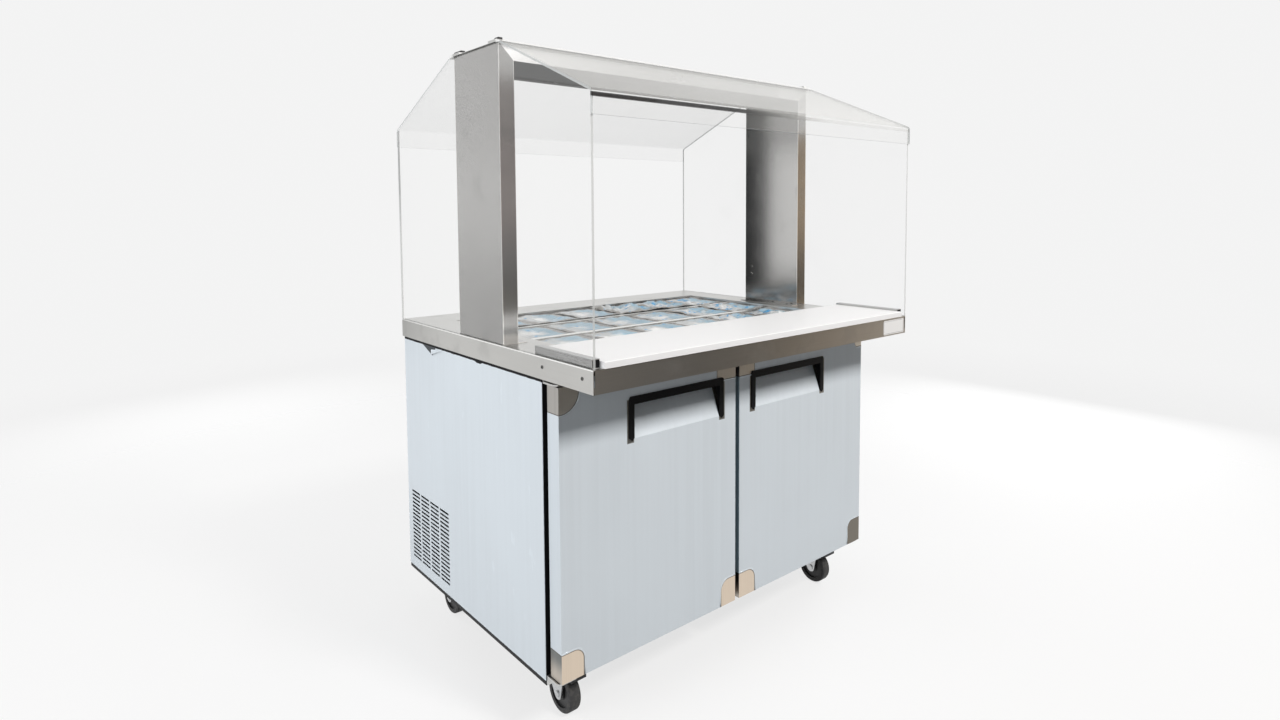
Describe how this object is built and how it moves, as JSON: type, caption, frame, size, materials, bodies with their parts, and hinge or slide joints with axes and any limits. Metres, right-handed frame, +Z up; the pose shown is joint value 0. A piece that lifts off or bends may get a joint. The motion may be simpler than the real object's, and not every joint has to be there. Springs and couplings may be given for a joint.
{
  "type": "refrigerated buffet table",
  "caption": "Refrigerated buffet table: stainless worktop with a recessed pan well, cutting board, clear sneeze guard on a steel portal, hinged-door cabinet and braked casters.",
  "frame": {"origin": "on the floor below the middle of the worktop", "axes": "+X to the right along the front, -Y to the front where the doors and board are, +Z up"},
  "size_m": [1.2044, 1.01, 1.6665],
  "materials": {
    "worktop_steel": "brushed",
    "well_steel": "satin",
    "pan_steel": "polished",
    "portal_steel": "brushed",
    "board_plastic": "matt",
    "clear_acrylic": "clear",
    "black_plastic": "moulded",
    "screw_steel": "bright",
    "panel_steel": "brushed",
    "zinc_sheet": "galvanised",
    "foam": "foam",
    "liner_aluminium": "embossed",
    "frame_plastic": "moulded",
    "door_steel": "brushed",
    "door_liner": "moulded",
    "gasket_rubber": "matt",
    "shelf_wire": "coated",
    "hinge_steel": "zinc plated",
    "machine_black": "satin black",
    "coil_aluminium": "fins",
    "fan_plastic": "moulded",
    "housing_plastic": "moulded",
    "caster_zinc": "zinc plated",
    "wheel_rubber": "tread"
  },
  "bodies": {
    "table": {"back_panel": "zinc_sheet", "base_pan": "zinc_sheet", "board_rails": "portal_steel", "cabinet_foam": "foam", "cabinet_liner": "liner_aluminium", "canopy_front": "clear_acrylic", "canopy_rear": "clear_acrylic", "caster_plates": "caster_zinc", "column_left": "portal_steel", "column_right": "portal_steel", "compressor": "machine_black", "condenser": "coil_aluminium", "cord_gland": "black_plastic", "end_panel_left": "clear_acrylic", "end_panel_right": "clear_acrylic", "evaporator": "coil_aluminium", "evaporator_housing": "housing_plastic", "fan_bracket": "zinc_sheet", "front_frame": "frame_plastic", "guard_clips": "black_plastic", "hinge_brackets": "hinge_steel", "pan_bars": "well_steel", "pan_well": "well_steel", "rail_plugs": "black_plastic", "screws": "screw_steel", "shelf_clips": "frame_plastic", "shelf_left": "shelf_wire", "shelf_right": "shelf_wire", "side_panel_left": "panel_steel", "side_panel_right": "panel_steel", "top_beam": "portal_steel", "worktop": "worktop_steel"},
    "door_left": {"door_left_skin": "door_steel", "door_left_foam": "foam", "door_left_liner": "door_liner", "door_left_gasket": "gasket_rubber", "door_left_handle": "black_plastic"},
    "door_right": {"door_right_skin": "door_steel", "door_right_foam": "foam", "door_right_liner": "door_liner", "door_right_gasket": "gasket_rubber", "door_right_handle": "black_plastic"},
    "board": {"cutting_board": "board_plastic"},
    "rear_pans": {"pans_rear": "pan_steel"},
    "middle_pans": {"pans_middle": "pan_steel"},
    "front_pans": {"pans_front": "pan_steel"},
    "fork_front_left": {"caster_fork_front_left": "caster_zinc"},
    "wheel_front_left": {"caster_wheel_front_left": "wheel_rubber"},
    "pedal_front_left": {"brake_pedal_front_left": "black_plastic"},
    "fork_front_right": {"caster_fork_front_right": "caster_zinc"},
    "wheel_front_right": {"caster_wheel_front_right": "wheel_rubber"},
    "pedal_front_right": {"brake_pedal_front_right": "black_plastic"},
    "fork_rear_left": {"caster_fork_rear_left": "caster_zinc"},
    "wheel_rear_left": {"caster_wheel_rear_left": "wheel_rubber"},
    "fork_rear_right": {"caster_fork_rear_right": "caster_zinc"},
    "wheel_rear_right": {"caster_wheel_rear_right": "wheel_rubber"},
    "condenser_rotor": {"condenser_fan": "fan_plastic"},
    "evaporator_rotor": {"evaporator_fan": "fan_plastic"},
    "knob": {"thermostat_knob": "black_plastic"}
  },
  "joints": [
    {"name": "door_left_swing", "type": "hinge", "parent": "table", "child": "door_left", "pos_m": [-0.577, -0.325, 0.502], "axis": [0, 0, -1], "range_deg": [0, 110]},
    {"name": "door_right_swing", "type": "hinge", "parent": "table", "child": "door_right", "pos_m": [0.577, -0.325, 0.502], "axis": [0, 0, 1], "range_deg": [0, 110]},
    {"name": "board_lift", "type": "slide", "parent": "table", "child": "board", "axis": [0, 0, 1], "range_m": [0, 0.12]},
    {"name": "rear_pans_lift", "type": "slide", "parent": "table", "child": "rear_pans", "axis": [0, 0, 1], "range_m": [0, 0.15]},
    {"name": "middle_pans_lift", "type": "slide", "parent": "table", "child": "middle_pans", "axis": [0, 0, 1], "range_m": [0, 0.15]},
    {"name": "front_pans_lift", "type": "slide", "parent": "table", "child": "front_pans", "axis": [0, 0, 1], "range_m": [0, 0.15]},
    {"name": "caster_swivel_front_left", "type": "hinge", "parent": "table", "child": "fork_front_left", "pos_m": [-0.5055, -0.205, 0.136], "axis": [0, 0, 1], "continuous": true},
    {"name": "caster_roll_front_left", "type": "hinge", "parent": "fork_front_left", "child": "wheel_front_left", "pos_m": [-0.5055, -0.237, 0.05], "axis": [1, 0, 0], "continuous": true},
    {"name": "brake_tip_front_left", "type": "hinge", "parent": "fork_front_left", "child": "pedal_front_left", "pos_m": [-0.5055, -0.255, 0.106], "axis": [1, 0, 0], "range_deg": [0, 14], "stiffness_Nm_per_rad": 0.4, "springref_deg": -8.59},
    {"name": "caster_swivel_front_right", "type": "hinge", "parent": "table", "child": "fork_front_right", "pos_m": [0.5055, -0.205, 0.136], "axis": [0, 0, 1], "continuous": true},
    {"name": "caster_roll_front_right", "type": "hinge", "parent": "fork_front_right", "child": "wheel_front_right", "pos_m": [0.5055, -0.237, 0.05], "axis": [1, 0, 0], "continuous": true},
    {"name": "brake_tip_front_right", "type": "hinge", "parent": "fork_front_right", "child": "pedal_front_right", "pos_m": [0.5055, -0.255, 0.106], "axis": [1, 0, 0], "range_deg": [0, 14], "stiffness_Nm_per_rad": 0.4, "springref_deg": -8.59},
    {"name": "caster_swivel_rear_left", "type": "hinge", "parent": "table", "child": "fork_rear_left", "pos_m": [-0.5055, 0.4, 0.136], "axis": [0, 0, 1], "continuous": true},
    {"name": "caster_roll_rear_left", "type": "hinge", "parent": "fork_rear_left", "child": "wheel_rear_left", "pos_m": [-0.5055, 0.368, 0.05], "axis": [1, 0, 0], "continuous": true},
    {"name": "caster_swivel_rear_right", "type": "hinge", "parent": "table", "child": "fork_rear_right", "pos_m": [0.5055, 0.4, 0.136], "axis": [0, 0, 1], "continuous": true},
    {"name": "caster_roll_rear_right", "type": "hinge", "parent": "fork_rear_right", "child": "wheel_rear_right", "pos_m": [0.5055, 0.368, 0.05], "axis": [1, 0, 0], "continuous": true},
    {"name": "condenser_fan_spin", "type": "hinge", "parent": "table", "child": "condenser_rotor", "pos_m": [-0.5063, 0.3338, 0.252], "axis": [1, 0, 0], "continuous": true},
    {"name": "evaporator_fan_spin", "type": "hinge", "parent": "table", "child": "evaporator_rotor", "pos_m": [0, 0.323, 0.621], "axis": [0, 1, 0], "continuous": true},
    {"name": "knob_turn", "type": "hinge", "parent": "table", "child": "knob", "pos_m": [0.2, 0.3038, 0.543], "axis": [0, 1, 0], "range_deg": [-135, 135]}
  ]
}
